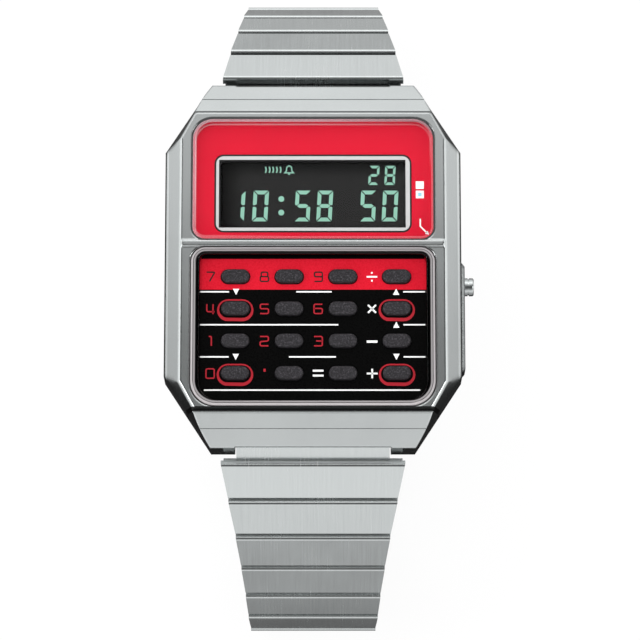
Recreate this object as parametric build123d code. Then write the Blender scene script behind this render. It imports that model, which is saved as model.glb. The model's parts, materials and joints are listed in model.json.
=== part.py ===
from build123d import *
from math import atan2, cos, degrees, radians, sin
import os

# Digital calculator watch, standing on its closed clasp with the dial up.
# Millimetres. +Z is up out of the dial, +Y points to twelve o'clock, +X to three o'clock.
# The origin is on the clasp's underside, below the middle of the dial.
# Everything is built with the top of the bezel at z = 0 and lifted on export.

# Case
case_width = 34.4
case_length = 43.2
case_height = 8.4
side_corner_setback = 8.3
lug_tip_inset = 5.4
side_band_width = 2.0
end_slope_length = 4.1
bezel_corner_width = 1.7
bezel_corner_setback = 3.1
bezel_bevel = 0.3
side_band_drop = 2.6
slope_step = 0.3
slope_end_drop = 2.9
slope_groove_width = 0.12
slope_groove_depth = 0.08
bezel_groove_width = 0.35
bezel_groove_depth = 0.25
hood_setback = 0.15
body_bottom_chamfer = 0.4
cavity_wall = 4.0
cavity_end_wall = 1.6
cavity_corner = 5.0
seat_depth = 1.6
bar_lower_edge = 1.5
bar_width = 0.8
bar_ridge_rise = 0.15
bar_ridge_chamfer = 0.12
bar_flange_width = 2.0
bar_flange_thickness = 0.8
bar_bite = 0.4

# Strap notch and spring bars
lug_foot_width = 2.8
notch_roof_depth = 3.45
notch_length = 3.7
bar_setback = 1.8
bar_axis_depth = 4.6
bar_radius = 0.7
bar_tip_radius = 0.4
bar_tip_bite = 0.8
lug_hole_depth = 1.1
bar_end_gap = 0.15

# Fits and overruns
assembly_gap = 0.05
running_fit = 0.03
seat_gap = 0.01
overrun = 1.0

# Guard and mode button on the right side
guard_rise = 0.4
guard_top_y = 0.2
guard_corner_gap = 0.65
guard_upper_share = 0.387
guard_height_share = 0.533
guard_root = 0.8
guard_chamfer = 0.35
button_y = -2.15
button_depth_share = 0.6933
button_radius = 1.05
button_stem_radius = 0.5
button_projection = 1.5
button_head_length = 1.9
button_travel = 0.8
button_inner_reach = 0.4
button_groove_width = 0.16
button_groove_depth = 0.12
button_groove_from_end = 0.55
button_edge_round = 0.2
button_well_margin = 0.07
button_spring_room = 1.5
clip_thickness = 0.25
clip_radius = 0.95
clip_seat_depth = 0.12
clip_gap = 0.1
seal_wire_radius = 0.22
seal_pocket_depth = 0.55
button_spring_coil_radius = 0.8
button_spring_wire_radius = 0.11
button_spring_turns = 3

# Display
lens_side_margin = 1.2
lens_end_margin = 0.7
lens_low_corner = 1.5
lens_high_corner = 2.4
lens_proud = 0.15
lens_edge_round = 0.35
mask_thickness = 0.3
mask_side_band = 2.75
mask_lower_band = 1.32
mask_upper_band = 4.2
frame_outer_corner = 0.9
frame_side_band = 0.5
frame_lower_band = 0.38
frame_upper_band = 0.6
frame_inner_corner = 0.5
cell_side_cover = 1.25
cell_lower_cover = 0.57
cell_upper_cover = 0.4
cell_thickness = 1.3
cell_step = 0.6
zebra_side_inset = 1.5
zebra_lower_inset = 0.4
zebra_depth_y = 1.0

# Keypad
keypad_side_margin = 1.1
keypad_end_margin = 0.25
keypad_low_corner = 2.9
keypad_high_corner = 1.7
rim_wall_side = 1.05
rim_wall_top = 0.9
rim_wall_bottom = 0.65
rim_rise = 0.3
rim_round = 0.28
plate_thickness = 0.5
key_length = 3.25
key_breadth = 1.6
key_rise = 0.6
key_edge_round = 0.25
key_hole_gap = 0.1
key_flange_margin = 0.35
key_flange_thickness = 0.4
key_travel = 0.35
key_well_margin = 0.12
first_column_margin = 5.15
last_column_margin = 4.45
first_row_margin = 3.3
last_row_margin = 4.0
key_rows = (
    ("key_7", "key_8", "key_9", "key_divide"),
    ("key_4", "key_5", "key_6", "key_multiply"),
    ("key_1", "key_2", "key_3", "key_minus"),
    ("key_0", "key_point", "key_equals", "key_plus"),
)
membrane_thickness = 1.25
membrane_corner = 0.4
membrane_boss_inset = 1.0
membrane_boss_height = 0.3

# Module inside the case
module_gap = 0.2
frame_top_depth = 3.0
frame_bottom_share = 0.88
board_margin = 0.85
board_thickness = 0.75
board_top_depth = 3.35
divider_width = 1.6
divider_thickness = 0.3
battery_side_room = 3.2
battery_end_room = 1.3
battery_thickness = 1.6
battery_x = -1.5
battery_rim = 1.2
battery_step = 0.2
battery_pocket_gap = 0.15
clip_strap_width = 5.0
clip_strap_sheet = 0.2
clip_strap_overhang = 0.55
clip_strap_tab = 0.8
chip_radius = 2.3
chip_height = 0.7
chip_side_inset = 5.7
chip_end_inset = 4.6
crystal_radius = 0.7
crystal_length = 5.0
crystal_side_inset = 5.6
crystal_end_inset = 2.8
buzzer_radius = 6.5
buzzer_thickness = 0.25
buzzer_x = 0.5
buzzer_end_inset = 7.3
buzzer_spring_from_chip = 5.0
buzzer_spring_end_inset = 2.9
buzzer_spring_coil_radius = 0.75
buzzer_spring_wire_radius = 0.12
buzzer_spring_turns = 4
buzzer_spring_hole = 1.2

# Back
back_thickness = 0.9
back_side_inset = 2.0
back_end_inset = 0.1
back_corner_width = 2.6
back_corner_setback = 3.2
back_edge_chamfer = 0.3
gasket_inset = 0.2
gasket_width = 0.55
gasket_thickness = 0.6
screw_side_inset = 2.0
screw_end_inset = 2.6
screw_head_radius = 0.85
screw_head_height = 0.5
screw_radius = 0.4
screw_length = 2.6
screw_slot_width = 0.28
screw_slot_depth = 0.22

# Bracelet
link_pitch = 4.6
end_link_pitch = 8.0
tab_reach = 3.9
tab_side_gap = 0.15
tab_barrel_radius = 1.0
tab_web_setback = 0.45
barrel_radius = 0.75
barrel_relief = 0.3
plate_clearance = 0.1
link_plate_thickness = 0.9
plate_lead = 1.1
link_gap = 0.15
link_side_inset = 0.2
link_edge_round = 0.4
link_far_chamfer = 0.12
knuckle_width = 6.4
knuckle_side_gap = 0.06
pin_radius = 0.4
pin_inset = 0.25
first_link_inset = 1.15
link_width_shares = (1.0, 0.92, 0.845, 0.789, 0.7465, 0.723, 0.7042)
lower_link_angles = (35, 43, 52, 59, 71, 84, 107, 131, 153, 170)
upper_link_angles = (35, 45, 54, 64, 76, 94, 116, 138, 157, 170)
closing_angle_limit = 20
closing_steps = 60

# Clasp
cover_wall = 0.7
cover_side_gap = 0.3
cover_inner_height = 1.6
cover_edge_round = 0.4
cover_knuckle_length = 3.0
adjust_hole_radius = 0.45
adjust_hole_pitch = 3.0
adjust_hole_count = 3
arm_setback = 5.4
arm_offset = 0.15
arm_side_gap = 0.45
arm_thickness = 0.8
arm_end_gap = 1.45
arm_window_length = 6.0
arm_window_width = 2.4
arm_window_count = 3
neck_root = 0.35
neck_seat_clearance = 0.1
neck_end_gap = 0.03
neck_side_gap = 0.12

# Widths that follow from the case's width
bezel_width = case_width - 2 * side_band_width
bezel_end_width = bezel_width - 2 * bezel_corner_width
cavity_width = case_width - 2 * cavity_wall
back_width = case_width - 2 * back_side_inset
back_end_width = back_width - 2 * back_corner_width
screw_x = back_width / 2 - screw_side_inset
lug_tip_width = case_width - 2 * lug_tip_inset
lug_width = lug_tip_width - 2 * lug_foot_width
tab_width = lug_width - 2 * tab_side_gap
first_link_width = lug_tip_width - 2 * first_link_inset
link_widths = [first_link_width * share for share in link_width_shares]
lens_width = bezel_width - 2 * lens_side_margin
frame_outer_width = lens_width - 2 * mask_side_band
frame_inner_width = frame_outer_width - 2 * frame_side_band
cell_width = frame_outer_width + 2 * cell_side_cover
zebra_width = cell_width - 2 * zebra_side_inset
keypad_width = bezel_width - 2 * keypad_side_margin
first_column_x = first_column_margin - keypad_width / 2
column_pitch = (keypad_width - first_column_margin - last_column_margin) / (
    len(key_rows[0]) - 1)
battery_radius = cavity_width / 2 - battery_side_room
chip_x = cavity_width / 2 - chip_side_inset
crystal_x = crystal_side_inset - cavity_width / 2
buzzer_spring_x = chip_x - buzzer_spring_from_chip

# Places along the watch that follow from the case's length
straight_side_length = case_length - 2 * side_corner_setback
bezel_length = case_length - 2 * end_slope_length
bezel_corner_length = bezel_length - 2 * bezel_corner_setback
cavity_length = bezel_length - 2 * cavity_end_wall
back_length = bezel_length - 2 * back_end_inset
back_side_length = back_length - 2 * back_corner_setback
screw_y = back_length / 2 - screw_end_inset
notch_wall_y = case_length / 2 - notch_length
bar_axis_y = case_length / 2 - bar_setback
guard_bottom_y = guard_corner_gap - straight_side_length / 2
bar_middle_y = bar_lower_edge + bar_width / 2
lens_low = bar_lower_edge + bar_width + assembly_gap
lens_high = bezel_length / 2 - lens_end_margin
frame_outer_low = lens_low + mask_lower_band
frame_outer_high = lens_high - mask_upper_band
frame_inner_low = frame_outer_low + frame_lower_band
frame_inner_high = frame_outer_high - frame_upper_band
cell_low = frame_outer_low - cell_lower_cover
cell_high = frame_outer_high + cell_upper_cover
zebra_low = cell_low + zebra_lower_inset
keypad_high = bar_lower_edge - assembly_gap
keypad_low = keypad_end_margin - bezel_length / 2
first_row_y = keypad_high - first_row_margin
row_pitch = (first_row_y - keypad_low - last_row_margin) / (len(key_rows) - 1)
membrane_high = bar_middle_y - bar_flange_width / 2 - module_gap
battery_y = cavity_length / 2 - battery_end_room - battery_radius
chip_y = chip_end_inset - cavity_length / 2
crystal_y = crystal_end_inset - cavity_length / 2
buzzer_y = buzzer_end_inset - cavity_length / 2
buzzer_spring_y = buzzer_spring_end_inset - cavity_length / 2

# Radii and depths that several pieces share
button_well_radius = button_radius + button_well_margin
seal_pocket_radius = button_stem_radius + running_fit + 2 * seal_wire_radius
body_bottom = -(case_height - back_thickness)
frame_bottom = frame_bottom_share * body_bottom
guard_upper_depth = -guard_upper_share * body_bottom
guard_height = -guard_height_share * body_bottom
button_depth = -button_depth_share * body_bottom
plate_top = -(seat_depth - plate_thickness)
key_top = plate_top + key_rise
lens_bottom = -(seat_depth - mask_thickness - seat_gap)
cell_top = -(seat_depth + assembly_gap)
board_bottom = -(board_top_depth + board_thickness)
battery_top = board_bottom - assembly_gap
battery_bottom = battery_top - battery_thickness
membrane_top = -(seat_depth + 2 * assembly_gap)
link_top = barrel_radius + plate_clearance + link_plate_thickness
plate_under = barrel_radius + plate_clearance

os.makedirs("parts", exist_ok=True)


def prism(sketch, low, high):
    """Solid over a plan sketch between two heights."""
    return extrude(Pos(0, 0, low) * sketch, high - low)


def block(x_low, x_high, y_low, y_high, z_low, z_high):
    """Box between two corners."""
    plan = Rectangle(x_high - x_low, y_high - y_low)
    return prism(Pos((x_low + x_high) / 2, (y_low + y_high) / 2) * plan, z_low, z_high)


def cross_rod(radius, x_low, x_high, y, z):
    """Cylinder along X."""
    rod = Cylinder(radius, x_high - x_low, rotation=(0, 90, 0))
    return Pos((x_low + x_high) / 2, y, z) * rod


def upright_rod(radius, x, y, z_low, z_high):
    """Cylinder along Z."""
    return Pos(x, y, (z_low + z_high) / 2) * Cylinder(radius, z_high - z_low)


def mirrored_outline(quarter):
    """Closed outline from its points in the quarter where x and y are positive."""
    second = [(-x, y) for x, y in reversed(quarter)]
    third = [(-x, -y) for x, y in quarter]
    fourth = [(x, -y) for x, y in reversed(quarter)]
    return Polygon(*quarter, *second, *third, *fourth, align=None)


def window(width, low, high, low_corner, high_corner):
    """Upright window with different radii at its lower and upper corners."""
    sketch = Pos(0, (low + high) / 2) * Rectangle(width, high - low)
    sketch = fillet(sketch.vertices().group_by(Axis.Y)[-1], high_corner)
    return fillet(sketch.vertices().group_by(Axis.Y)[0], low_corner)


def tapered_plan(near_y, far_y, width_at, inset):
    """Plan of a strap piece whose sides follow the strap's taper."""
    near = width_at(near_y) / 2 - inset
    far = width_at(far_y) / 2 - inset
    return Polygon((-near, near_y), (near, near_y), (far, far_y), (-far, far_y), align=None)


def coil(coil_radius, wire_radius, length, turns):
    """Helical spring that stands on z = 0, with its wire inside the given length."""
    rise = length - 2 * wire_radius
    path = Helix(pitch=rise / turns, height=rise, radius=coil_radius)
    section = Plane(path @ 0, z_dir=path % 0) * Circle(wire_radius)
    return Pos(0, 0, wire_radius) * sweep(section, path=path, is_frenet=True)


def key_places():
    """Name and place of every key, row by row from the top left."""
    for row, names in enumerate(key_rows):
        for column, name in enumerate(names):
            x = first_column_x + column * column_pitch
            yield name, x, first_row_y - row * row_pitch


def screw_places():
    return [(x, y) for x in (-screw_x, screw_x) for y in (-screw_y, screw_y)]


# Case pieces


def case_outline():
    """Quarter outline of the case side, and of the bezel's top and bevel above it."""
    tip = (lug_tip_width / 2, case_length / 2)
    shoulder = (case_width / 2, straight_side_length / 2)
    middle = ((shoulder[0] + tip[0]) / 2, (shoulder[1] + tip[1]) / 2)
    bezel = [
        (bezel_width / 2, bezel_corner_length / 2),
        (bezel_end_width / 2, bezel_length / 2),
        tip,
    ]
    bevel = [(x + bezel_bevel, y) for x, y in bezel[:2]] + [tip]
    return [shoulder, middle, tip], bevel, bezel


def slope_height(y):
    """Height of the sloping end of the case at a distance from its middle."""
    run = case_length / 2 - bezel_length / 2
    fall = slope_end_drop - slope_step
    return -slope_step - fall * (abs(y) - bezel_length / 2) / run


def make_case_body():
    side, bevel, bezel = case_outline()
    lower = prism(mirrored_outline(side), body_bottom, -side_band_drop)
    lower = chamfer(lower.faces().sort_by(Axis.Z)[0].edges(), body_bottom_chamfer)
    band_foot = Pos(0, 0, -side_band_drop) * mirrored_outline(side)
    band_head = Pos(0, 0, -bezel_bevel) * mirrored_outline(bevel)
    body = lower + loft([band_foot.face(), band_head.face()], ruled=True)
    body += loft([band_head.face(), mirrored_outline(bezel).face()], ruled=True)
    body += guard()
    body -= end_slopes()
    body -= prism(RectangleRounded(cavity_width, cavity_length, cavity_corner),
                  body_bottom - overrun, -seat_depth)
    body -= prism(display_window(assembly_gap), -seat_depth, overrun)
    body -= prism(keypad_window(assembly_gap), -seat_depth, overrun)
    body += cross_bar_flange()
    body += cross_bar_ridge()
    body -= strap_notches()
    body -= button_bore()
    body -= gasket_ring(seat_gap, gasket_thickness + seat_gap)
    for x, y in screw_places():
        depth = screw_length - screw_head_height
        body -= upright_rod(screw_radius + seat_gap, x, y, body_bottom - overrun,
                            body_bottom + depth)
    return body


def guard():
    """Raised pad on the right side that shields the mode button."""
    pad = block(case_width / 2 - guard_root, case_width / 2 + guard_rise,
                guard_bottom_y, guard_top_y,
                -guard_upper_depth - guard_height, -guard_upper_depth)
    return chamfer(pad.faces().sort_by(Axis.X)[-1].edges(), guard_chamfer)


def end_slopes():
    """What is cut away above the case's sloping ends, with a groove round the bezel's end."""
    start = bezel_length / 2
    end = case_length / 2 + overrun
    groove_end = start + bezel_groove_width
    groove_floor = -slope_step - bezel_groove_depth
    profile = Polygon(
        (start, groove_floor),
        (groove_end, groove_floor),
        (groove_end, slope_height(groove_end)),
        (end, slope_height(end)),
        (end, overrun),
        (start, overrun),
        align=None,
    )
    middle = (start + case_length / 2) / 2
    fine_line = Pos(middle, slope_height(middle)) * Rot(0, 0, slope_angle()) * Rectangle(
        slope_groove_width, 2 * slope_groove_depth)
    wedge = extrude(Plane.YZ * (profile + fine_line), case_width, both=True)
    return wedge + mirror(wedge, about=Plane.XZ)


def slope_angle():
    start = bezel_length / 2
    end = case_length / 2
    return degrees(atan2(slope_height(end) - slope_height(start), end - start))


def display_window(margin):
    return window(lens_width + 2 * margin, lens_low - margin, lens_high + margin,
                  lens_low_corner, lens_high_corner)


def keypad_window(margin):
    return window(keypad_width + 2 * margin, keypad_low - margin, keypad_high + margin,
                  keypad_low_corner, keypad_high_corner)


def cross_bar_flange():
    """Foot of the bar between the two windows, which both windows rest on."""
    return block(-cavity_width / 2 - bar_bite, cavity_width / 2 + bar_bite,
                 bar_middle_y - bar_flange_width / 2, bar_middle_y + bar_flange_width / 2,
                 -seat_depth - bar_flange_thickness, -seat_depth)


def cross_bar_ridge():
    """Raised polished ridge along the bar between the two windows."""
    ridge = block(-bezel_width / 2, bezel_width / 2, bar_lower_edge, bar_lower_edge + bar_width,
                  -bezel_bevel, bar_ridge_rise)
    return chamfer(ridge.faces().sort_by(Axis.Z)[-1].edges(), bar_ridge_chamfer)


def strap_notches():
    """Room for the strap's end tab at both ends, with the spring bar's holes."""
    half = lug_width / 2
    end = case_length / 2 + overrun
    notch = block(-half, half, notch_wall_y, end, body_bottom - overrun, -notch_roof_depth)
    notch += block(-half, half, case_length / 2 - hood_setback, end,
                   body_bottom - overrun, overrun)
    notch += cross_rod(bar_tip_radius + assembly_gap, -half - lug_hole_depth,
                       half + lug_hole_depth, bar_axis_y, -bar_axis_depth)
    return notch + mirror(notch, about=Plane.XZ)


def well_floor():
    """Bottom of the button's well, which its spring stands on."""
    return case_width / 2 + button_projection - button_head_length - button_spring_room


def button_bore():
    """Well for the button's head and spring, bore for its stem, pocket for its seal."""
    inner = cavity_width / 2
    floor = well_floor()
    outer = case_width / 2 + guard_rise + overrun
    bore = cross_rod(button_well_radius, floor, outer, button_y, -button_depth)
    bore += cross_rod(button_stem_radius + running_fit, inner - overrun, outer,
                      button_y, -button_depth)
    bore += cross_rod(seal_pocket_radius + seat_gap, inner - overrun,
                      inner + seal_pocket_depth, button_y, -button_depth)
    return bore


def gasket_ring(margin, depth):
    """Rubber ring under the case, or with a margin the groove that holds it."""
    inner = gasket_inset - margin
    outer = gasket_inset + gasket_width + margin
    ring = RectangleRounded(cavity_width + 2 * outer, cavity_length + 2 * outer,
                            cavity_corner + outer)
    ring -= RectangleRounded(cavity_width + 2 * inner, cavity_length + 2 * inner,
                             cavity_corner + inner)
    return prism(ring, body_bottom, body_bottom + depth)


def make_case_back():
    corner = [
        (back_width / 2, back_side_length / 2),
        (back_end_width / 2, back_length / 2),
    ]
    plate = prism(mirrored_outline(corner), -case_height, body_bottom)
    plate = chamfer(plate.faces().sort_by(Axis.Z)[0].edges(), back_edge_chamfer)
    for x, y in screw_places():
        plate -= upright_rod(screw_head_radius + assembly_gap, x, y, -case_height - overrun,
                             -case_height + screw_head_height + seat_gap)
        plate -= upright_rod(screw_radius + assembly_gap, x, y, -case_height, overrun)
    return plate


def make_back_screws():
    screws = []
    for x, y in screw_places():
        top = -case_height + screw_head_height
        screw = upright_rod(screw_head_radius, x, y, -case_height, top)
        screw += upright_rod(screw_radius, x, y, top, -case_height + screw_length)
        for turn in (0, 90):
            slot = Rectangle(2 * screw_head_radius, screw_slot_width, rotation=turn)
            screw -= prism(Pos(x, y) * slot, -case_height, -case_height + screw_slot_depth)
        screws.append(screw)
    return screws


def make_spring_bars():
    bars = []
    for side in (-1, 1):
        y = side * bar_axis_y
        half = lug_width / 2
        bar = cross_rod(bar_radius, -half + bar_end_gap, half - bar_end_gap, y,
                        -bar_axis_depth)
        bar += cross_rod(bar_tip_radius, -half - bar_tip_bite, half + bar_tip_bite, y,
                         -bar_axis_depth)
        bars.append(bar)
    return bars


# Mode button


def make_mode_button():
    end = case_width / 2 + button_projection
    head_foot = end - button_head_length
    inner = cavity_width / 2 - button_inner_reach
    head = cross_rod(button_radius, head_foot, end, button_y, -button_depth)
    head = fillet(head.faces().sort_by(Axis.X)[-1].edges(), button_edge_round)
    groove_at = end - button_groove_from_end
    groove = cross_rod(button_radius + overrun, groove_at - button_groove_width, groove_at,
                       button_y, -button_depth)
    groove -= cross_rod(button_radius - button_groove_depth, groove_at - button_groove_width,
                        groove_at, button_y, -button_depth)
    head -= groove
    stem = cross_rod(button_stem_radius, inner, head_foot, button_y, -button_depth)
    clip_end = cavity_width / 2 - clip_gap
    clip_seat = button_stem_radius - clip_seat_depth
    ring = cross_rod(clip_radius, clip_end - clip_thickness, clip_end, button_y,
                     -button_depth)
    core = cross_rod(clip_seat, clip_end - clip_thickness, clip_end, button_y,
                     -button_depth)
    return [head + (stem - (ring - core)), ring - core]


def make_button_spring():
    floor = well_floor()
    length = button_spring_room - 2 * assembly_gap
    spring = coil(button_spring_coil_radius, button_spring_wire_radius, length,
                  button_spring_turns)
    return Pos(floor + assembly_gap, button_y, -button_depth) * Rot(0, 90, 0) * spring


def make_button_seal():
    ring = Torus(button_stem_radius + running_fit + seal_wire_radius, seal_wire_radius)
    x = cavity_width / 2 + seal_pocket_depth / 2
    return Pos(x, button_y, -button_depth) * Rot(0, 90, 0) * ring


# Display pieces


def frame_outline(margin):
    return window(frame_outer_width + 2 * margin, frame_outer_low - margin,
                  frame_outer_high + margin, frame_outer_corner, frame_outer_corner)


def make_display_mask():
    return prism(display_window(0) - frame_outline(seat_gap), -seat_depth,
                 -seat_depth + mask_thickness)


def make_lcd_frame():
    inner = window(frame_inner_width, frame_inner_low, frame_inner_high,
                   frame_inner_corner, frame_inner_corner)
    return prism(frame_outline(0) - inner, -seat_depth, -seat_depth + mask_thickness)


def make_display_lens():
    lens = prism(display_window(0), lens_bottom, lens_proud)
    return fillet(lens.faces().sort_by(Axis.Z)[-1].edges(), lens_edge_round)


def make_lcd_cell():
    """Two glass plates: the front one stops short to bare the contacts."""
    half = cell_width / 2
    middle = cell_top - cell_thickness / 2
    cell = block(-half, half, cell_low + cell_step, cell_high, middle, cell_top)
    return cell + block(-half, half, cell_low, cell_high, cell_top - cell_thickness, middle)


def make_zebra_strip():
    """Striped rubber contact between the circuit board and the display cell."""
    half = zebra_width / 2
    return block(-half, half, zebra_low, zebra_low + zebra_depth_y,
                 -board_top_depth + seat_gap, cell_top - cell_thickness - seat_gap)


# Keypad pieces


def pill(margin):
    return SlotOverall(key_length + 2 * margin, key_breadth + 2 * margin)


def make_keypad_plate():
    sheet = keypad_window(-assembly_gap)
    for _, x, y in key_places():
        sheet -= Pos(x, y) * pill(key_hole_gap)
    return prism(sheet, -seat_depth, plate_top)


def make_keypad_rim():
    outer = keypad_window(-assembly_gap)
    inner = window(keypad_width - 2 * rim_wall_side, keypad_low + rim_wall_bottom,
                   keypad_high - rim_wall_top, keypad_low_corner - rim_wall_bottom,
                   keypad_high_corner - rim_wall_top)
    rim = prism(outer - inner, plate_top + seat_gap, rim_rise)
    return fillet(rim.faces().sort_by(Axis.Z)[-1].edges(), rim_round)


def make_key(x, y):
    cap = prism(pill(0), -seat_depth - assembly_gap, key_top)
    cap = fillet(cap.faces().sort_by(Axis.Z)[-1].edges(), key_edge_round)
    flange_top = -seat_depth - assembly_gap
    flange = prism(pill(key_flange_margin), flange_top - key_flange_thickness, flange_top)
    return Pos(x, y) * (cap + flange)


def make_key_membrane():
    """Rubber sheet with a well under each key, on top of the module."""
    half = cavity_width / 2 - module_gap
    low = -cavity_length / 2 + module_gap
    sheet = window(2 * half, low, membrane_high, cavity_corner - module_gap,
                   membrane_corner)
    rubber = prism(sheet, membrane_top - membrane_thickness, membrane_top)
    boss = window(2 * (half - membrane_boss_inset), low + membrane_boss_inset,
                  membrane_high - membrane_boss_inset,
                  cavity_corner - module_gap - membrane_boss_inset, membrane_corner)
    boss_foot = membrane_top - membrane_thickness - membrane_boss_height
    rubber += prism(boss, boss_foot, membrane_top - membrane_thickness)
    flange_bottom = -seat_depth - assembly_gap - key_flange_thickness
    floor = flange_bottom - key_travel - assembly_gap
    for _, x, y in key_places():
        well = pill(key_flange_margin + key_well_margin)
        rubber -= prism(Pos(x, y) * well, floor, membrane_top + overrun)
    return rubber


# Module pieces


def module_plan(margin):
    """Plan of what sits inside the case, drawn in from its wall."""
    return RectangleRounded(cavity_width - 2 * margin, cavity_length - 2 * margin,
                            cavity_corner - margin)


def make_module_frame():
    bottom = frame_bottom
    frame = prism(module_plan(module_gap), bottom, -frame_top_depth)
    frame -= prism(module_plan(board_margin), board_bottom - assembly_gap, overrun)
    divider = block(-cavity_width / 2 + board_margin, cavity_width / 2 - board_margin,
                    bar_middle_y - divider_width / 2, bar_middle_y + divider_width / 2,
                    -frame_top_depth - divider_thickness, -frame_top_depth)
    frame += divider
    frame -= upright_rod(battery_radius + battery_pocket_gap, battery_x, battery_y,
                         bottom - overrun, board_bottom)
    frame -= upright_rod(buzzer_spring_hole, buzzer_spring_x, buzzer_spring_y,
                         bottom - overrun, board_bottom)
    frame -= upright_rod(chip_radius + module_gap, chip_x, chip_y,
                         board_bottom - chip_height - module_gap, board_bottom)
    room = crystal_radius + module_gap
    frame -= block(crystal_x - crystal_length / 2 - module_gap,
                   crystal_x + crystal_length / 2 + module_gap,
                   crystal_y - room, crystal_y + room,
                   board_bottom - 2 * crystal_radius - module_gap, board_bottom)
    frame -= button_room()
    frame -= strap_room()
    return frame


def button_room():
    """Pocket in the module frame for the inner end of the pressed button."""
    reach = cavity_width / 2 - button_inner_reach - button_travel - clip_gap
    half = clip_radius + module_gap
    return block(reach - clip_gap, cavity_width / 2 + overrun, button_y - half,
                 button_y + half, -button_depth - half, -button_depth + half)


def strap_ends():
    """Outer faces of the battery strap's two bent ends."""
    reach = battery_radius + battery_pocket_gap + clip_strap_overhang
    return battery_x - reach, battery_x + reach


def strap_room():
    """Groove in the module frame for the battery strap and its bent ends."""
    left, right = strap_ends()
    half = clip_strap_width / 2 + assembly_gap
    low = battery_y - half
    high = battery_y + half
    bottom = frame_bottom - overrun
    room = block(left - assembly_gap, right + assembly_gap, low, high, bottom,
                 battery_bottom)
    for x_low, x_high in ((left, left + clip_strap_sheet), (right - clip_strap_sheet, right)):
        room += block(x_low - assembly_gap, x_high + assembly_gap, low, high, bottom,
                      battery_bottom + clip_strap_tab + assembly_gap)
    return room


def make_circuit_board():
    plan = module_plan(board_margin + module_gap)
    board = prism(plan, board_bottom, -board_top_depth)
    chip = upright_rod(chip_radius, chip_x, chip_y, board_bottom - chip_height, board_bottom)
    chip = fillet(chip.faces().sort_by(Axis.Z)[0].edges(), chip_height / 2)
    half = crystal_length / 2
    can = cross_rod(crystal_radius, crystal_x - half, crystal_x + half, crystal_y,
                    board_bottom - crystal_radius - seat_gap)
    return [board, chip, can]


def make_battery():
    """Coin cell: a wide cup with a narrower lid towards the board."""
    cup = upright_rod(battery_radius, battery_x, battery_y, battery_bottom,
                      battery_top - battery_step)
    lid = upright_rod(battery_radius - battery_rim, battery_x, battery_y,
                      battery_top - battery_step, battery_top)
    return cup + lid


def make_battery_clip():
    """Sheet strap across the cell, bent up into the module frame at both ends."""
    left, right = strap_ends()
    low = battery_y - clip_strap_width / 2
    high = battery_y + clip_strap_width / 2
    top = battery_bottom - seat_gap
    strap = block(left, right, low, high, top - clip_strap_sheet, top)
    for x in (left, right - clip_strap_sheet):
        strap += block(x, x + clip_strap_sheet, low, high, top - clip_strap_sheet,
                       top + clip_strap_tab)
    return strap


def make_buzzer_disc():
    return upright_rod(buzzer_radius, buzzer_x, buzzer_y, body_bottom,
                       body_bottom + buzzer_thickness)


def make_buzzer_spring():
    foot = body_bottom + buzzer_thickness + seat_gap
    length = board_bottom - seat_gap - foot
    spring = coil(buzzer_spring_coil_radius, buzzer_spring_wire_radius, length,
                  buzzer_spring_turns)
    return Pos(buzzer_spring_x, buzzer_spring_y, foot) * spring


# Bracelet
# A strap piece is built with its own hinge at the origin, running along +Y, outside up.


def link_length(index):
    """Distance between a link's two hinges. The first has a tab, the last is longer."""
    if index == 0:
        return tab_reach + link_pitch
    return end_link_pitch if index == len(lower_link_angles) - 1 else link_pitch


def link_width(index, y, reach):
    """Width of a link at a distance from its hinge, tapering from link to link."""
    last = len(link_widths) - 1
    near = link_widths[min(index, last)]
    far = link_widths[min(index + 1, last)]
    start = reach - plate_lead
    return near + (far - near) * (y - start) / link_pitch


def make_link(index):
    """One link with the pin in its far end. The first has a tab for the spring bar."""
    first = index == 0
    reach = tab_reach if first else 0
    far = link_length(index)
    plate_near = reach - plate_lead
    plate_far = far - plate_lead - link_gap
    web_near = plate_near + tab_web_setback if first else barrel_radius + barrel_relief
    near_radius = tab_barrel_radius if first else barrel_radius
    near_width = tab_width if first else knuckle_width
    near_bore = (bar_radius if first else pin_radius) + running_fit

    def width_at(y):
        return link_width(index, y, reach)

    plate = prism(tapered_plan(plate_near, plate_far, width_at, 0), plate_under, link_top)
    top_edges = plate.faces().sort_by(Axis.Z)[-1].edges().filter_by(Axis.X)
    plate = fillet(top_edges.sort_by(Axis.Y)[0], link_edge_round)
    top_edges = plate.faces().sort_by(Axis.Z)[-1].edges().filter_by(Axis.X)
    plate = chamfer(top_edges.sort_by(Axis.Y)[-1], link_far_chamfer)
    body = plate + prism(tapered_plan(web_near, plate_far, width_at, link_side_inset),
                         -barrel_radius, plate_under)
    body += prism(tapered_plan(plate_far, far, width_at, link_side_inset),
                  -barrel_radius, barrel_radius)
    ear = width_at(far) / 2 - link_side_inset
    body += cross_rod(barrel_radius, -ear, ear, far, 0)
    slot = knuckle_width / 2 + knuckle_side_gap
    body -= block(-slot, slot, far - barrel_radius - barrel_relief, far + overrun,
                  -barrel_radius - overrun, link_top + overrun)
    half = near_width / 2
    tongue = block(-half, half, 0, web_near + barrel_relief, -barrel_radius,
                   barrel_radius if first else plate_under)
    body += tongue + cross_rod(near_radius, -half, half, 0, 0)
    body -= cross_rod(near_bore, -half - overrun, half + overrun, 0, 0)
    body -= cross_rod(pin_radius + seat_gap, -ear - overrun, ear + overrun, far, 0)
    pin = cross_rod(pin_radius, -ear + pin_inset, ear - pin_inset, far, 0)
    return [body, pin]


def strap_hinges(side, angles):
    """Hinge places down one half of the bracelet, from its spring bar to its free end."""
    y = side * bar_axis_y
    z = -bar_axis_depth
    places = [(y, z)]
    for index, angle in enumerate(angles):
        y += side * link_length(index) * cos(radians(angle))
        z -= link_length(index) * sin(radians(angle))
        places.append((y, z))
    return places


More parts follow.
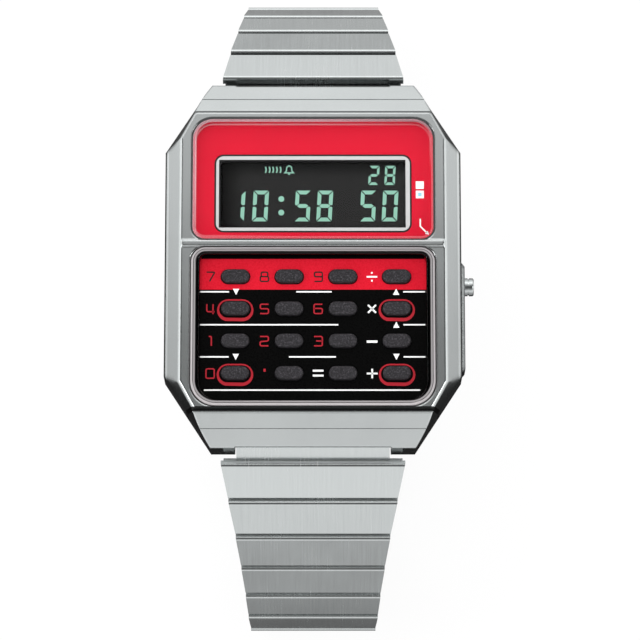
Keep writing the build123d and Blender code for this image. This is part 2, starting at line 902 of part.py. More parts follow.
def closing_turn(target):
    """Degrees added all along the upper half, so that it ends level with the clasp."""
    low = -closing_angle_limit
    high = closing_angle_limit
    for _ in range(closing_steps):
        middle = (low + high) / 2
        if strap_hinges(1, turned_angles(middle))[-1][1] > target:
            low = middle
        else:
            high = middle
    return (low + high) / 2


def turned_angles(turn):
    """Upper link angles with a share of the closing turn, none of it at the case."""
    last = len(upper_link_angles) - 1
    return [angle - turn * index / last for index, angle in enumerate(upper_link_angles)]


def place_strap_piece(piece, side, hinge, angle):
    """Turn a strap piece down by its angle and put its hinge in place."""
    facing = Rot(0, 0, 180) if side < 0 else Rot(0, 0, 0)
    return Pos(0, hinge[0], hinge[1]) * Rot(-side * angle, 0, 0) * facing * piece


# Clasp
# The cover and arm are built like a link, outside up, and turned over at the strap's end.


def make_clasp_cover(span):
    """Folded cover: floor, two side walls, knuckle for the last link, pin for the arm."""
    half = link_widths[-1] / 2 + cover_side_gap
    outer = half + cover_wall
    end = span - plate_lead - link_gap
    floor = block(-outer, outer, -plate_lead, end, plate_under, link_top)
    cover = floor
    for side in (-1, 1):
        x_low, x_high = sorted((side * half, side * outer))
        cover += block(x_low, x_high, -plate_lead, end, -cover_inner_height, link_top)
    cover = fillet(cover.edges().filter_by(Axis.Y).group_by(Axis.Z)[-1], cover_edge_round)
    knuckle = knuckle_width / 2
    cover += block(-knuckle, knuckle, 0, cover_knuckle_length, -barrel_radius, plate_under)
    cover += cross_rod(barrel_radius, -knuckle, knuckle, 0, 0)
    cover -= cross_rod(pin_radius + running_fit, -knuckle - overrun, knuckle + overrun, 0, 0)
    pin_reach = outer - pin_inset
    cover -= cross_rod(pin_radius + seat_gap, -outer - overrun, outer + overrun,
                       arm_setback, -arm_offset)
    for step in range(1, adjust_hole_count + 1):
        cover -= cross_rod(adjust_hole_radius, -outer - overrun, outer + overrun,
                           arm_setback + step * adjust_hole_pitch, -arm_offset)
    pin = cross_rod(pin_radius, -pin_reach, pin_reach, arm_setback, -arm_offset)
    return [cover, pin]


def make_clasp_arm(span):
    """Folding arm inside the cover, whose neck reaches the other half's last pin."""
    half = link_widths[-1] / 2 + cover_side_gap - arm_side_gap
    low = -arm_offset - arm_thickness / 2
    high = -arm_offset + arm_thickness / 2
    end = span - arm_end_gap
    arm = block(-half, half, arm_setback, end, low, high)
    arm += cross_rod(barrel_radius, -half, half, arm_setback, -arm_offset)
    arm -= cross_rod(pin_radius + running_fit, -half - overrun, half + overrun,
                     arm_setback, -arm_offset)
    run = end - arm_setback
    for step in range(arm_window_count):
        place = arm_setback + run * (step + 1) / (arm_window_count + 1)
        arm -= prism(Pos(0, place) * SlotOverall(arm_window_length, arm_window_width),
                     low - overrun, high + overrun)
    return arm + make_neck(span, end, low, high)


def make_neck(span, arm_end, low, high):
    """Neck between the last link's ears, hollowed at its end for that link's pin."""
    half = knuckle_width / 2 - neck_side_gap
    neck_end = span - pin_radius - neck_end_gap
    neck = block(-half, half, arm_end - neck_root, neck_end, low, high)
    seat = pin_radius + neck_seat_clearance
    return neck - cross_rod(seat, -half - overrun, half + overrun, span, 0)


# Assembly

lower_hinges = strap_hinges(-1, lower_link_angles)
clasp_axis = lower_hinges[-1][1]
upper_angles = turned_angles(closing_turn(clasp_axis))
upper_hinges = strap_hinges(1, upper_angles)
clasp_span = upper_hinges[-1][0] - lower_hinges[-1][0]
stand_height = -(clasp_axis - link_top)


def save(name, shapes):
    """Write one node, lifted so that the clasp's underside is at z = 0."""
    solids = shapes if isinstance(shapes, list) else [shapes]
    lifted = [Pos(0, 0, stand_height) * solid for solid in solids]
    export_step(Compound(children=[s for shape in lifted for s in shape.solids()]),
                f"parts/{name}.step")


save("case_body", make_case_body())
save("case_back", make_case_back())
save("back_gasket", gasket_ring(0, gasket_thickness))
save("back_screws", make_back_screws())
save("spring_bars", make_spring_bars())
save("mode_button", make_mode_button())
save("button_spring", make_button_spring())
save("button_seal", make_button_seal())
save("display_lens", make_display_lens())
save("display_mask", make_display_mask())
save("lcd_frame", make_lcd_frame())
save("lcd_cell", make_lcd_cell())
save("zebra_strip", make_zebra_strip())
save("keypad_plate", make_keypad_plate())
save("keypad_rim", make_keypad_rim())
save("key_membrane", make_key_membrane())
save("module_frame", make_module_frame())
save("circuit_board", make_circuit_board())
save("battery", make_battery())
save("battery_clip", make_battery_clip())
save("buzzer_disc", make_buzzer_disc())
save("buzzer_spring", make_buzzer_spring())
for key_name, key_x, key_y in key_places():
    save(key_name, make_key(key_x, key_y))
for half_name, half_side, hinges, angles in (
    ("lower", -1, lower_hinges, lower_link_angles),
    ("upper", 1, upper_hinges, upper_angles),
):
    for number, link_angle in enumerate(angles):
        pieces = [place_strap_piece(piece, half_side, hinges[number], link_angle)
                  for piece in make_link(number)]
        save(f"{half_name}_link_{number + 1}", pieces)
clasp_cover = make_clasp_cover(clasp_span)
clasp_arm = make_clasp_arm(clasp_span)
save("clasp_cover", [place_strap_piece(piece, -1, lower_hinges[-1], 180)
                     for piece in clasp_cover])
save("clasp_arm", place_strap_piece(clasp_arm, -1, lower_hinges[-1], 180))

# Joint places for whoever writes the motion down
print("stand height", stand_height, "clasp span", clasp_span)
for half_name, hinges, angles in (
    ("lower", lower_hinges, lower_link_angles),
    ("upper", upper_hinges, upper_angles),
):
    for number, (y, z) in enumerate(hinges):
        angle = angles[number] if number < len(angles) else 180
        print("hinge", half_name, number + 1, "y", y, "z", z + stand_height, "dip", angle)
arm_y = lower_hinges[-1][0] + arm_setback
print("arm hinge y", arm_y, "z", clasp_axis + arm_offset + stand_height)
print("button z", stand_height - button_depth, "key top z", stand_height + key_top)
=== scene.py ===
import json
from math import cos, pi, radians, sin

import bmesh
import bpy
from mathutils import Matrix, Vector


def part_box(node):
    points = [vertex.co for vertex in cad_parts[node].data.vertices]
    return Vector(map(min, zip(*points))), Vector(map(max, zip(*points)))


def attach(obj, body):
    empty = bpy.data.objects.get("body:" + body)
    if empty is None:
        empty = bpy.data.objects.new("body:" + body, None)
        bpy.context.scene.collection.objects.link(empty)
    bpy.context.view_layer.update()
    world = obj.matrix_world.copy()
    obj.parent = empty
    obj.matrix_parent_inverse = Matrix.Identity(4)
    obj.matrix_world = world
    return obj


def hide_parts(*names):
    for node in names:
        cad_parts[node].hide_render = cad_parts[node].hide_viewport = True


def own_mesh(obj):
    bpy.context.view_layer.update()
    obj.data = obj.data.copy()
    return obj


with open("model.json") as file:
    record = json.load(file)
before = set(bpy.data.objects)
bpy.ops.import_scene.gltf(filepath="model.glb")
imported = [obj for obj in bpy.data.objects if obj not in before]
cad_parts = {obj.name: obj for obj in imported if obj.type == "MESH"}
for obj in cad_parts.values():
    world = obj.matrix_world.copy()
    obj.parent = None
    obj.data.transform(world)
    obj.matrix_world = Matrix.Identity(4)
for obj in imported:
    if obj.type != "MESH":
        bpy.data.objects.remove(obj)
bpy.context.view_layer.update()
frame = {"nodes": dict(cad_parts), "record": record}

# Looks of the digital calculator watch, on the model's own frame: x to three o'clock, y to
# twelve o'clock, z up. Heights of pieces, the spring, the camera, the floor and the lights
# are in metres. Print, lines, shading and rounded edges are in millimetres.

MM = 0.001

# Camera, as fitted to the photograph, with its lens and sensor in millimetres
camera_elevation = radians(77.5)
camera_distance = 0.420
camera_focal_length = 205.0
camera_sensor_width = 36.0
camera_nearest = 0.01
aim_right = 0.00081
aim_down = 0.00703

# Heights of the dial's layers, read from the frame
bar_ridge_rise = 0.15 * MM
bezel_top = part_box("case_body")[1].z - bar_ridge_rise
plate_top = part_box("keypad_plate")[1].z
cell_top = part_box("lcd_cell")[1].z
print_thickness = 0.02 * MM
print_lift = 0.002 * MM

# Keypad print
first_column_x = -8.95
column_pitch = 6.2
first_row_y = -1.85
row_pitch = 3.8
label_offset = -2.85
stripe_low = -3.38
stripe_high = 0.25
stripe_half_width = 13.1
stripe_blur = 0.03
stripe_reds = ((0.53, 0.008, 0.02, 1), (0.61, 0.011, 0.028, 1))
plate_blacks = ((0.0012, 0.0012, 0.0012, 1), (0.002, 0.002, 0.002, 1))
plate_fineness = 6000
plate_roughness = (0.24, 0.34)
plate_shine = 0.04
plate_bump = 0.04
label_height = 1.1
label_width = 0.95
label_stroke = 0.15
label_rounding = 0.2
sign_strokes = {"divide": 0.2, "multiply": 0.2, "minus": 0.27, "plus": 0.2, "equals": 0.22,
                "point": 0.34}
line_width = 0.16
ring_length = 4.2
ring_breadth = 2.6
ring_line = 0.25
ring_drop = 0.16
inner_ring_length = ring_length - 2 * ring_line
inner_ring_breadth = ring_breadth - 2.3 * ring_line
inner_ring_drop = ring_drop / 3
rim_low, rim_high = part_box("keypad_rim")
rim_middle_y = (rim_low.y + rim_high.y) / 2 / MM
rim_outline = (rim_high.x / MM, rim_low.y / MM, rim_high.y / MM, 2.9, 1.7)
# Painted highlight on the keypad rim: a pale line inside its outline, and a pale pink light on its
# outer rounded edge, stronger on its lower side
rim_highlight_line_depth = 0.42
rim_highlight_line_width = 0.14
rim_highlight_line_level = 0.28
rim_highlight_shares = (0.55, 0.3)
# Smoky tint seen through the rim, then the colour of its painted highlight
rim_see_through = (0.2, 0.18, 0.185, 1)
rim_highlight = (0.88, 0.83, 0.845, 1)

# Rounding of the case's edges: wider past its shoulders, as (start, end, radius), and
# sharp beside the fine lines across it, as (distance from the middle, reach)
case_edge_radius = 0.3
case_shoulder = (15.7, 16.0, 0.9)
case_fine_lines = ((17.72, 0.19), (19.55, 0.3))
fine_line_blend = 0.05
sharp_edge_radius = 0.02
widest_edge_radius = 1.0

# Painted shade in and beside the grooves across the case, as (start, end, share of the colour)
case_painted_groove_shade = ((-17.74, -17.28, 0.08), (17.5, 17.86, 0.5))

# Painted highlight line and painted shadow line along the case's outer sides, as (start, end,
# share of the level)
case_painted_side_lines = ((16.78, 17.04, 1.45), (17.06, 17.24, 0.2))
painted_side_line_least_rise = 0.3

# Steel's surface
steel_tint = (0.955, 1.0, 1.0)
cloud_fineness = 160
cloud_levels = (0.97, 1.03)
cloud_roughness = (-0.02, 0.03)
steel_roughness_range = (0.25, 0.75)
steel_roughness_shares = (0.85, 1.15)
scratch_fineness = 3.1
scratch_range = (0.66, 0.74)
brushing_depth = 0.004 * MM
bevel_samples = 8

# Surface of the plastic and rubber
mottle_fineness = 300
mottle_levels = (0.96, 1.04)
plastic_roughness_shares = (0.88, 1.12)
grain_depth = 0.006 * MM
polish_depth = 0.002 * MM

# Ends of the links that face the case: painted shade above it, and duller steel below it
# and on the upper tab
link_end_shade = 0.4
link_end_shine = 0.25
link_end_turn = (-8.0, -12.0)
link_end_rise = (0.2, 0.4)
lower_end_fade = (-24.0, -22.0, 0.35, 1.0)
upper_tab_end = 20.5
upper_tab_low = 30.0

# The side button's spring, from its foot in the well
spring_low, spring_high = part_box("button_spring")
spring_wire = 0.11 * MM
spring_turns = 3
spring_steps_a_turn = 40
spring_sides = 10

# Display lens's outline, and the painted highlight on its rounded edge and in a pale line
# inside that edge
lens_low, lens_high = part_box("display_lens")
lens_outline = (lens_high.x / MM, lens_low.y / MM, lens_high.y / MM, 1.5, 2.4)
lens_highlight_line_depth = 0.36
lens_highlight_line_width = 0.13
lens_highlight_line_level = 0.3
lens_highlight_line_slope = 0.5
lens_highlight_line_fade = (4.0, 16.0)
lens_highlight_shares = (0.04, 0.34)
lens_highlight = (0.95, 0.62, 0.68, 1)

# Clear parts
clear_refraction = 1.25
clear_edge_range = (0.9995, 0.98)
clear_share = 0.99
smear_fineness = 90
smear_shares = (0.7, 1.3)
polish_fineness = 2500
polish_bump = 0.02
lens_roughness = 0.03
rim_roughness = 0.08
corner_change = (-0.1, 0.1)

# Opening of the display's frame, which is in shadow along its left and upper sides
frame_low, frame_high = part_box("lcd_frame")
frame_side_band = 0.5
frame_upper_band = 0.6
frame_lower_band = 0.38
frame_shadow = 0.17
frame_shadow_level = 0.02
frame_levels = (0.5, 0.54)
frame_shine = (0.5, 0.05)
frame_fineness = 4000
frame_roughness = (0.31, 0.39)
frame_bump = 0.05

# Shadow on the display cell from its left and upper sides, as (dark, clear)
cell_shadow_left = (-10.6, -7.9)
cell_shadow_top = (12.1, 10.1)
cell_level = 0.0165
cell_fineness = 4000
cell_mottle = (0.95, 1.05)
cell_roughness = (0.4, 0.5)
cell_shine = 0.01

# Marks on the red mask
mark_low = 0.001 * MM
mark_high = 0.006 * MM
mark_sides = (11.93, 12.87)
mark_feet = (7.55, 8.67)
mark_height = 0.92
mark_line = ((12.43, 5.1), (12.43, 4.2), (13.2, 3.42))
mark_line_width = 0.17
mark_arrow = ((13.42, 3.2), (13.3, 3.66), (12.96, 3.32))
blue_square = ((12.2, 7.81), (12.6, 7.81), (12.6, 8.21), (12.2, 8.21))
blue_rise = 0.002 * MM
# Painted shadow: a black ring on the mask round the display frame's outer edge
painted_frame_shadow_outline = (11.36, 3.56, 12.71, 0.99, 0.99)
painted_frame_shadow_width = 0.2

# Bead round the lens
seal_outline = (14.02, 2.33, 16.82, 1.52, 2.42)
seal_width = 0.2
seal_depth = 0.15 * MM
seal_rise = 0.012 * MM

# Colours
mask_red = (0.6, 0.006, 0.026, 1)
board_green = (0.02, 0.13, 0.05, 1)
label_red = (0.36, 0.012, 0.022, 1)
figure_mint = (0.235, 0.465, 0.365, 1)
mark_blue = (0.3, 0.62, 0.72, 1)

# Grain of the keys: colours as (noise, colour) stops, then the shares and the fineness of
# the coarse and the fine grain
key_colours = ((0.38, (0.006, 0.006, 0.006, 1)), (0.52, (0.018, 0.0165, 0.0195, 1)),
               (0.64, (0.08, 0.073, 0.082, 1)))
key_grain_shares = (0.75, 0.25)
key_fineness = (5200, 14000)
key_roughness = (0.55, 0.75)
key_shine = 0.3
key_bump = 0.5
key_grain_depth = 0.02 * MM

# Usual range of a noise's values
noise_range = (0.3, 0.7)

# Studio light by elevation, as (degrees above the horizon, level) stops
north_light = ((0, 1.0), (10, 1.15), (22, 1.1), (30, 1.7), (48, 1.7), (58, 0.5), (74, 0.42),
               (90, 0.15))
south_light = ((0, 0.62), (16, 1.03), (32, 1.18), (37, 0.78), (44, 0.64), (52, 0.34), (62, 0.15),
               (90, 0.06))
side_light = ((0, 1.9), (26, 1.8), (32, 0.0), (72, 0.0), (90, 0.2))
south_to_north = (-0.25, 0.25)
ends_to_sides = (0.3, 0.55)
west_to_east = (-0.16, 0.16)
west_east_shares = (1.2, 0.85)

# Floor as the camera sees it
floor_half_size = 1.5
floor_grey = 0.9
floor_white_share = 0.93

# Floor as the steel mirrors it, off the ends and off the sides of the watch, where it glows at
# these levels with painted shade near the watch. Where four numbers stand together, the level
# changes along y as (start, end, share, share).
floor_levels = (0.55, 0.8)
floor_level_range = (0.1, 0.8)
floor_side_range = (0.1, 0.5)
floor_shade_ends = (0.034, 0.07)
floor_shade_sides = (0.06, 0.125)
floor_darkest = 0.03
floor_middle_softness = 0.0001
floor_near_far = (-0.02, 0.02, 0.88, 1.1)
floor_along_sides = (0.018, 0.042, 0.87, 1.14)

# Soft lights, as (name, place, aim, size, power, shown in mirror images)
studio_lights = (
    ("key_light", (-0.12, 0.14, 0.62), (0, 0, 0.04), (0.3, 0.3), 1.45, False),
    ("left_light", (-0.5, -0.1, 0.5), (0, 0, 0.04), (0.2, 0.3), 1.2, True),
    ("right_light", (0.5, -0.1, 0.5), (0, 0, 0.04), (0.2, 0.3), 1.0, True),
    ("front_light", (0, -0.13, 0.55), (0, 0, 0.04), (0.3, 0.3), 0.8, False),
    ("top_panel", (0, 0.17, 0.3), (0, 0.06, 0.04), (0.3, 0.2), 0.07, True),
)


class Graph:
    """A node material under construction."""

    def __init__(self, name):
        self.material = bpy.data.materials.new(name)
        self.material.use_nodes = True
        self.tree = self.material.node_tree
        self.tree.nodes.clear()
        self.output = self.add("OutputMaterial")

    @classmethod
    def on_tree(cls, tree):
        """Graph on a node tree that exists, such as the world's."""
        graph = cls.__new__(cls)
        graph.tree = tree
        tree.nodes.clear()
        return graph

    def add(self, kind, inputs=None, **settings):
        """New node, with its settings, and its inputs set or linked."""
        node = self.tree.nodes.new(f"ShaderNode{kind}")
        for name, value in settings.items():
            setattr(node, name, value)
        for key, value in (inputs or {}).items():
            if isinstance(value, bpy.types.NodeSocket):
                self.tree.links.new(value, node.inputs[key])
            else:
                node.inputs[key].default_value = value
        return node

    def place(self, scale):
        """Object coordinates, stretched per axis."""
        coordinates = self.add("TexCoord").outputs["Object"]
        return self.add("Mapping", {"Vector": coordinates, "Scale": scale}).outputs[0]

    def noise(self, stretch, detail=3.0, roughness=0.55):
        """Noise over the object coordinates, stretched per axis."""
        node = self.add("TexNoise", {"Vector": self.place(stretch), "Scale": 1.0, "Detail": detail,
                                     "Roughness": roughness})
        return node.outputs["Fac"]

    def grain(self, fineness, detail=3.0, roughness=0.55):
        """Noise that is as fine one way as the other."""
        return self.noise((fineness, fineness, fineness), detail, roughness)

    def dial_place(self):
        """The three object coordinates in millimetres."""
        return self.parts(self.place((1000, 1000, 1000)))

    def remap(self, value, low, high, out_low, out_high):
        node = self.add("MapRange", {"Value": value, 1: low, 2: high, 3: out_low, 4: out_high})
        return node.outputs[0]

    def spread(self, noise, out_low, out_high):
        """A noise's usual range, mapped onto another."""
        return self.remap(noise, *noise_range, out_low, out_high)

    def spread_about(self, noise, value, shares):
        """A noise's usual range, mapped onto two shares of a value."""
        return self.spread(noise, value * shares[0], value * shares[1])

    def share(self, mask, level):
        """1 outside a mask and level inside it."""
        return self.remap(mask, 0.0, 1.0, 1.0, level)

    def between(self, value, low, high):
        """1 where a value lies between two others."""
        return self.math("MULTIPLY", self.math("GREATER_THAN", value, low),
                         self.math("LESS_THAN", value, high))

    def ramp(self, value, stops):
        """Colour ramp from (place, colour) stops."""
        node = self.add("ValToRGB", {"Fac": value})
        elements = node.color_ramp.elements
        elements[0].position, elements[0].color = stops[0]
        elements[1].position, elements[1].color = stops[-1]
        for position, colour in stops[1:-1]:
            elements.new(position).color = colour
        return node.outputs["Color"]

    def mix(self, factor, first, second, blend="MIX"):
        node = self.add("Mix", data_type="RGBA", blend_type=blend)
        for index, value in ((0, factor), (6, first), (7, second)):
            if isinstance(value, bpy.types.NodeSocket):
                self.tree.links.new(value, node.inputs[index])
            else:
                node.inputs[index].default_value = value
        return node.outputs[2]

    def math(self, operation, first, second=0.0):
        return self.add("Math", {0: first, 1: second}, operation=operation).outputs[0]

    def bump(self, height, strength, distance, base=None):
        inputs = {"Height": height, "Strength": strength, "Distance": distance}
        if base:
            inputs["Normal"] = base
        return self.add("Bump", inputs).outputs["Normal"]

    def parts(self, vector):
        """The three components of a vector."""
        return self.add("SeparateXYZ", {0: vector}).outputs

    def surface(self, inputs):
        """Principled surface as the material's result."""
        shader = self.add("BsdfPrincipled", inputs)
        self.tree.links.new(shader.outputs[0], self.output.inputs["Surface"])
        return self.material


def grey(level, tint=(1.0, 1.0, 1.0)):
    return tuple(level * part for part in tint) + (1.0,)


def shaded(graph, colour, shade):
    """Colour darkened to a share of itself."""
    return graph.mix(1.0, colour, graph.mix(shade, grey(0.0), grey(1.0)), "MULTIPLY")


def link_ends(graph, y, z):
    """1 where a link's end faces the case above it, for painted shade, and 1 where the steel is
    dull.
    """
    side, forward, upward = graph.parts(graph.add("TexCoord").outputs["Normal"])
    inward = graph.remap(graph.math("MULTIPLY", y, forward), *link_end_turn, 0.0, 1.0)
    inward = graph.math("MULTIPLY", inward, graph.remap(upward, *link_end_rise, 0.0, 1.0))
    above = graph.math("MULTIPLY", inward, graph.math("GREATER_THAN", y, upper_tab_end))
    below = graph.math("MULTIPLY", inward, graph.math("LESS_THAN", y, 0.0))
    below = graph.math("MULTIPLY", below, graph.remap(y, *lower_end_fade))
    tab = graph.math("MULTIPLY", graph.between(y, 0.0, upper_tab_end),
                     graph.math("GREATER_THAN", z, upper_tab_low))
    return above, graph.math("MAXIMUM", below, tab)


def steel_edges(graph, x, y, edge, shoulder, fine_lines):
    """Normal with the edges rounded, as steel describes."""
    radius = edge * MM
    if shoulder:
        start, end, broad = shoulder
        radius = graph.remap(graph.math("ABSOLUTE", x), start, end, edge * MM, broad * MM)
    for line, reach in fine_lines:
        away = graph.math("SUBTRACT", graph.math("ABSOLUTE", y), line)
        near = graph.remap(graph.math("ABSOLUTE", away), reach, reach + fine_line_blend,
                           sharp_edge_radius * MM, widest_edge_radius * MM)
        radius = graph.math("MINIMUM", radius, near)
    return graph.add("Bevel", {"Radius": radius}, samples=bevel_samples).outputs["Normal"]


def steel(name, brushing, level, roughness, bump=0.25, lines_depth=0.08, edge=0.0, shoulder=None,
          fine_lines=(), painted_groove_shade=(), ends=False, painted_side_lines=()):
    """Steel with fine brushing lines, a cloudy polish and scratches.

    Edges are rounded by edge in millimetres, more at the case's outer shoulders, and less
    beside the fine lines across the case. Painted shade darkens bands at the grooves across
    the case and the ends of links, and a painted highlight line and a painted shadow line
    run along the case's outer sides.
    """
    graph = Graph(name)
    lines = graph.noise(brushing, detail=4.0, roughness=0.7)
    clouds = graph.grain(cloud_fineness, detail=2.0)
    scratches = graph.noise(tuple(part * scratch_fineness for part in brushing), detail=1.0)
    scratch_mask = graph.remap(scratches, *scratch_range, 0.0, 1.0)
    tone = graph.spread_about(lines, level, (1 - lines_depth, 1 + lines_depth))
    tone = graph.math("MULTIPLY", tone, graph.spread(clouds, *cloud_levels))
    tone = graph.math("ADD", tone, graph.math("MULTIPLY", scratch_mask, lines_depth / 2))
    x, y, z = graph.dial_place()
    # Painted highlight line and painted shadow line along the case's outer sides, on faces that
    # look up
    for low, high, share in painted_side_lines:
        upward = graph.parts(graph.add("TexCoord").outputs["Normal"])[2]
        line = graph.math("MULTIPLY", graph.between(graph.math("ABSOLUTE", x), low, high),
                          graph.math("GREATER_THAN", upward, painted_side_line_least_rise))
        tone = graph.math("MULTIPLY", tone, graph.share(line, share))
    colour = graph.mix(tone, grey(0.0), grey(1.0, steel_tint))
    smooth, coarse = steel_roughness_shares
    rough = graph.remap(lines, *steel_roughness_range, roughness * smooth, roughness * coarse)
    rough = graph.math("ADD", rough, graph.spread(clouds, *cloud_roughness))
    # Painted shade: the colour darkened in bands across the case, in and beside its grooves
    for low, high, shade in painted_groove_shade:
        colour = shaded(graph, colour, graph.share(graph.between(y, low, high), shade))
    metallic = 1.0
    if ends:
        above, dull = link_ends(graph, y, z)
        # Painted shade on the ends of links that face the case above it
        colour = shaded(graph, colour, graph.share(above, link_end_shade))
        metallic = graph.share(dull, link_end_shine)
    edges = steel_edges(graph, x, y, edge, shoulder, fine_lines) if edge else None
    normal = graph.bump(lines, bump, brushing_depth, edges)
    return graph.surface({"Base Color": colour, "Metallic": metallic, "Roughness": rough,
                          "Normal": normal})


def plastic(name, colour, roughness, grain=4000.0, bump=0.2, speck=0.08, sheen=0.5):
    """Moulded plastic or rubber with a fine grain and a slight mottle."""
    graph = Graph(name)
    fine = graph.grain(grain)
    broad = graph.grain(mottle_fineness, detail=2.0)
    shade = graph.spread(fine, 1.0 - speck, 1.0 + speck)
    shade = graph.math("MULTIPLY", shade, graph.spread(broad, *mottle_levels))
    toned = shaded(graph, colour, shade)
    rough = graph.spread_about(fine, roughness, plastic_roughness_shares)
    normal = graph.bump(fine, bump, grain_depth)
    return graph.surface({"Base Color": toned, "Roughness": rough, "Normal": normal,
                          "Specular IOR Level": sheen})


scene = bpy.context.scene


def make_camera():
    camera_data = bpy.data.cameras.new("camera")
    camera_data.lens = camera_focal_length
    camera_data.sensor_width = camera_sensor_width
    camera_data.clip_start = camera_nearest
    camera = bpy.data.objects.new("camera", camera_data)
    scene.collection.objects.link(camera)
    back = Vector((0, -cos(camera_elevation), sin(camera_elevation)))
    up = Vector((0, sin(camera_elevation), cos(camera_elevation)))
    aim = Vector((aim_right, 0, bezel_top)) - aim_down * up
    camera.location = aim + camera_distance * back
    camera.rotation_euler = (pi / 2 - camera_elevation, 0, 0)
    scene.camera = camera


make_camera()


# Mesh makers

mitre_limit = 0.35
corner_share = 0.49


def new_piece(name, mesh, material, body="case"):
    """Object from a bmesh, with its material, riding on a body."""
    data = bpy.data.meshes.new(name)
    mesh.to_mesh(data)
    mesh.free()
    data.materials.append(material)
    piece = bpy.data.objects.new(name, data)
    scene.collection.objects.link(piece)
    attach(piece, body)
    return piece


def add_slab(mesh, outline, low, high):
    """Flat solid over an outline in millimetres on the dial, between two heights."""
    top = [mesh.verts.new((x * MM, y * MM, high)) for x, y in outline]
    bottom = [mesh.verts.new((x * MM, y * MM, low)) for x, y in outline]
    mesh.faces.new(top)
    mesh.faces.new(bottom[::-1])
    for index in range(len(outline)):
        after = (index + 1) % len(outline)
        mesh.faces.new((top[index], bottom[index], bottom[after], top[after]))


def side_points(points, width, closed):
    """Points on both sides of a stroke, mitred at its corners."""
    left = []
    right = []
    count = len(points)
    for index, (x, y) in enumerate(points):
        before = points[index - 1] if closed or index > 0 else None
        after = points[(index + 1) % count] if closed or index < count - 1 else None
        directions = []
        if before:
            directions.append(Vector((x - before[0], y - before[1])).normalized())
        if after:
            directions.append(Vector((after[0] - x, after[1] - y)).normalized())
        along = sum(directions, Vector((0, 0))).normalized()
        across = Vector((-along.y, along.x))
        stretch = max(abs(directions[0].dot(along)), mitre_limit)
        reach = width / 2 / stretch
        left.append((x + across.x * reach, y + across.y * reach))
        right.append((x - across.x * reach, y - across.y * reach))
    return left, right


def add_stroke(mesh, points, width, low, high, closed=False):
    """Flat solid line of even width along points."""
    add_band(mesh, *side_points(points, width, closed), low, high, closed)


def add_band(mesh, left, right, low, high, closed):
    """Flat solid between two lines of points."""
    rows = []
    for (x_left, y_left), (x_right, y_right) in zip(left, right):
        rows.append((
            mesh.verts.new((x_left * MM, y_left * MM, high)),
            mesh.verts.new((x_right * MM, y_right * MM, high)),
            mesh.verts.new((x_right * MM, y_right * MM, low)),
            mesh.verts.new((x_left * MM, y_left * MM, low)),
        ))
    steps = range(len(rows) if closed else len(rows) - 1)
    for index in steps:
        first = rows[index]
        second = rows[(index + 1) % len(rows)]
        for side in range(4):
            after = (side + 1) % 4
            mesh.faces.new((first[side], first[after], second[after], second[side]))
    if not closed:
        mesh.faces.new(rows[0][::-1])
        mesh.faces.new(rows[-1])


def rounded(points, radius, closed=False, steps=4):
    """A polyline with its corners rounded off."""
    count = len(points)
    result = []
    for index, point in enumerate(points):
        if not closed and index in (0, count - 1):
            result.append(point)
            continue
        here = Vector(point)
        before = Vector(points[index - 1]) - here
        after = Vector(points[(index + 1) % count]) - here
        reach = min(radius, before.length * corner_share, after.length * corner_share)
        start = here + before.normalized() * reach
        end = here + after.normalized() * reach
        for step in range(steps + 1):
            share = step / steps
            corner = start.lerp(here, share).lerp(here.lerp(end, share), share)
            result.append((corner.x, corner.y))
    return result


def arc(x, y, radius, start, end, steps=10):
    """Points on an arc, from one angle to another in degrees."""
    angles = [radians(start + (end - start) * step / steps) for step in range(steps + 1)]
    return [(x + radius * cos(angle), y + radius * sin(angle)) for angle in angles]


def dot_path(x, y, radius, corners):
    """Closed line of a dot with a number of corners."""
    return arc(x, y, radius, 0, 360 - 360 / corners, corners - 1)


def pill_path(x, y, length, breadth, steps=12):
    """Closed line of a pill shape."""
    half = (length - breadth) / 2
    right = arc(x + half, y, breadth / 2, -90, 90, steps)
    left = arc(x - half, y, breadth / 2, 90, 270, steps)
    return right + left


def window_path(half_width, low, high, low_corner, high_corner, steps=10):
    """Closed line of an upright window with two corner radii."""
    points = arc(half_width - high_corner, high - high_corner, high_corner, 0, 90, steps)
    points += arc(high_corner - half_width, high - high_corner, high_corner, 90, 180, steps)
    points += arc(low_corner - half_width, low + low_corner, low_corner, 180, 270, steps)
    points += arc(half_width - low_corner, low + low_corner, low_corner, 270, 360, steps)
    return points


# Print on the keypad plate

